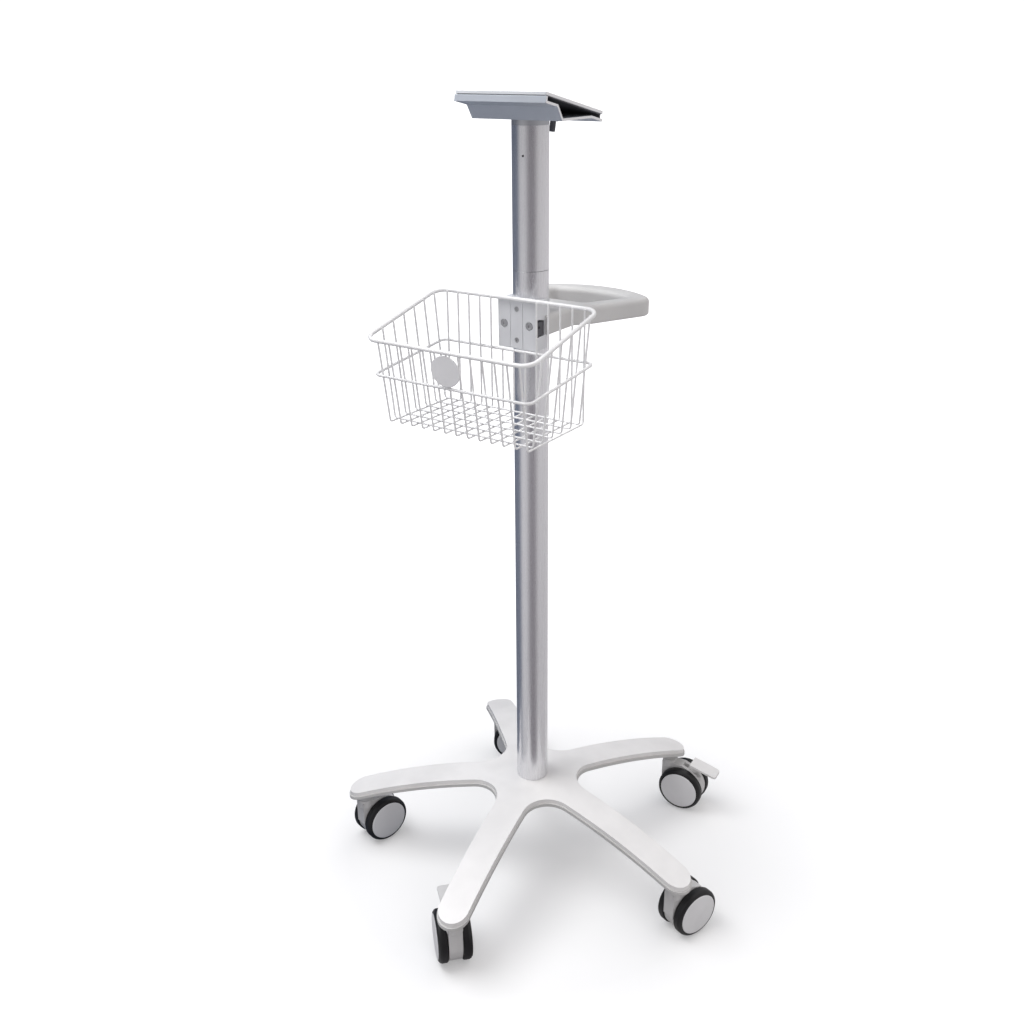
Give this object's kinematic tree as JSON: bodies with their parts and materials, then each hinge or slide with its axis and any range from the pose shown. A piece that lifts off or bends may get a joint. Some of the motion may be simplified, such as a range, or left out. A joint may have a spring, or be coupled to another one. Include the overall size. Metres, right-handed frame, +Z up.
{
  "type": "rolling monitor stand",
  "caption": "Rolling stand for a small medical monitor: tilted tray on a round column, wire basket, push handle and a star base on twin-wheel castors.",
  "frame": {"origin": "on the floor, in the middle of the stand's footprint", "axes": "+Z up; the basket is on the -Y side of the column and the push handle on the +Y side; +X is to the right when looking along +Y"},
  "size_m": [0.5907, 0.5808, 1.1774],
  "materials": {
    "aluminium": "satin anodised",
    "black_plastic": "fine grain",
    "black_steel": "blackened steel",
    "cast_aluminium": "plain cast",
    "castor_grey": "fine grain",
    "clamp_paint": "light grey paint",
    "cover_white": "smooth warm white moulding",
    "disc_grey": "satin",
    "frame_paint": "light grey powder coat",
    "handle_grey": "soft light grey grip",
    "pedal_white": "smooth",
    "steel": "turned steel",
    "tray_steel": "blue-grey satin paint",
    "tray_white": "pale satin paint",
    "tyre_black": "plain tread",
    "wheel_grey": "fine grain",
    "wire_white": "white powder coat"
  },
  "bodies": {
    "stand": {"badge_clip": "black_plastic", "base_cover": "cover_white", "base_frame": "frame_paint", "basket_badge": "disc_grey", "basket_band": "wire_white", "basket_cross_wires": "wire_white", "basket_long_wires": "wire_white", "basket_plate": "clamp_paint", "basket_rim": "wire_white", "castor_stems": "steel", "clamp_block": "clamp_paint", "column_bolt": "steel", "column_foot": "cast_aluminium", "column_joiner": "cast_aluminium", "column_screw": "black_steel", "handle_grip": "handle_grey", "lower_column": "aluminium", "plate_bolts": "steel", "plate_screws": "steel", "plunger_bush": "steel", "top_plug": "cast_aluminium", "tray_bolts": "steel", "tray_channel": "tray_steel", "tray_plate": "tray_white", "tray_spacer": "black_plastic", "upper_column": "aluminium", "window_inserts": "black_plastic"},
    "plunger": {"release_plunger": "black_plastic"},
    "castor_a": {"castor_a_housing": "castor_grey", "castor_a_axle": "steel"},
    "castor_a_left": {"castor_a_wheel_left": "wheel_grey", "castor_a_tyre_left": "tyre_black"},
    "castor_a_right": {"castor_a_wheel_right": "wheel_grey", "castor_a_tyre_right": "tyre_black"},
    "castor_b": {"castor_b_housing": "castor_grey", "castor_b_axle": "steel"},
    "castor_b_left": {"castor_b_wheel_left": "wheel_grey", "castor_b_tyre_left": "tyre_black"},
    "castor_b_right": {"castor_b_wheel_right": "wheel_grey", "castor_b_tyre_right": "tyre_black"},
    "castor_b_brake": {"castor_b_pedal": "pedal_white"},
    "castor_c": {"castor_c_housing": "castor_grey", "castor_c_axle": "steel"},
    "castor_c_left": {"castor_c_wheel_left": "wheel_grey", "castor_c_tyre_left": "tyre_black"},
    "castor_c_right": {"castor_c_wheel_right": "wheel_grey", "castor_c_tyre_right": "tyre_black"},
    "castor_d": {"castor_d_housing": "castor_grey", "castor_d_axle": "steel"},
    "castor_d_left": {"castor_d_wheel_left": "wheel_grey", "castor_d_tyre_left": "tyre_black"},
    "castor_d_right": {"castor_d_wheel_right": "wheel_grey", "castor_d_tyre_right": "tyre_black"},
    "castor_d_brake": {"castor_d_pedal": "pedal_white"},
    "castor_e": {"castor_e_housing": "castor_grey", "castor_e_axle": "steel"},
    "castor_e_left": {"castor_e_wheel_left": "wheel_grey", "castor_e_tyre_left": "tyre_black"},
    "castor_e_right": {"castor_e_wheel_right": "wheel_grey", "castor_e_tyre_right": "tyre_black"}
  },
  "joints": [
    {"name": "plunger_pull", "type": "slide", "parent": "stand", "child": "plunger", "axis": [0, -0.2079, -0.9781], "range_m": [0, 0.005]},
    {"name": "castor_a_swivel", "type": "hinge", "parent": "stand", "child": "castor_a", "pos_m": [-0.26935, -0.12489, 0.084], "axis": [0, 0, 1], "continuous": true},
    {"name": "castor_a_left_spin", "type": "hinge", "parent": "castor_a", "child": "castor_a_left", "pos_m": [-0.262, -0.09839, 0.038], "axis": [-0.9636, 0.2672, 0], "continuous": true},
    {"name": "castor_a_right_spin", "type": "hinge", "parent": "castor_a", "child": "castor_a_right", "pos_m": [-0.262, -0.09839, 0.038], "axis": [-0.9636, 0.2672, 0], "continuous": true},
    {"name": "castor_b_swivel", "type": "hinge", "parent": "stand", "child": "castor_b", "pos_m": [0.02615, -0.26584, 0.084], "axis": [0, 0, 1], "continuous": true},
    {"name": "castor_b_left_spin", "type": "hinge", "parent": "castor_b", "child": "castor_b_left", "pos_m": [0.00604, -0.24708, 0.038], "axis": [-0.682, -0.7314, 0], "continuous": true},
    {"name": "castor_b_right_spin", "type": "hinge", "parent": "castor_b", "child": "castor_b_right", "pos_m": [0.00604, -0.24708, 0.038], "axis": [-0.682, -0.7314, 0], "continuous": true},
    {"name": "castor_b_brake_press", "type": "hinge", "parent": "castor_b", "child": "castor_b_brake", "pos_m": [0.00129, -0.24265, 0.066], "axis": [-0.682, -0.7314, 0], "range_deg": [0, 14]},
    {"name": "castor_c_swivel", "type": "hinge", "parent": "stand", "child": "castor_c", "pos_m": [0.25152, -0.02835, 0.084], "axis": [0, 0, 1], "continuous": true},
    {"name": "castor_c_left_spin", "type": "hinge", "parent": "castor_c", "child": "castor_c_left", "pos_m": [0.26092, -0.00251, 0.038], "axis": [-0.9397, 0.342, 0], "continuous": true},
    {"name": "castor_c_right_spin", "type": "hinge", "parent": "castor_c", "child": "castor_c_right", "pos_m": [0.26092, -0.00251, 0.038], "axis": [-0.9397, 0.342, 0], "continuous": true},
    {"name": "castor_d_swivel", "type": "hinge", "parent": "stand", "child": "castor_d", "pos_m": [0.0953, 0.25937, 0.084], "axis": [0, 0, 1], "continuous": true},
    {"name": "castor_d_left_spin", "type": "hinge", "parent": "castor_d", "child": "castor_d_left", "pos_m": [0.12267, 0.26201, 0.038], "axis": [-0.0958, 0.9954, 0], "continuous": true},
    {"name": "castor_d_right_spin", "type": "hinge", "parent": "castor_d", "child": "castor_d_right", "pos_m": [0.12267, 0.26201, 0.038], "axis": [-0.0958, 0.9954, 0], "continuous": true},
    {"name": "castor_d_brake_press", "type": "hinge", "parent": "castor_d", "child": "castor_d_brake", "pos_m": [0.12914, 0.26263, 0.066], "axis": [-0.0958, 0.9954, 0], "range_deg": [0, 14]},
    {"name": "castor_e_swivel", "type": "hinge", "parent": "stand", "child": "castor_e", "pos_m": [-0.22662, 0.19971, 0.084], "axis": [0, 0, 1], "continuous": true},
    {"name": "castor_e_left_spin", "type": "hinge", "parent": "castor_e", "child": "castor_e_left", "pos_m": [-0.20355, 0.21468, 0.038], "axis": [-0.5446, 0.8387, 0], "continuous": true},
    {"name": "castor_e_right_spin", "type": "hinge", "parent": "castor_e", "child": "castor_e_right", "pos_m": [-0.20355, 0.21468, 0.038], "axis": [-0.5446, 0.8387, 0], "continuous": true}
  ]
}
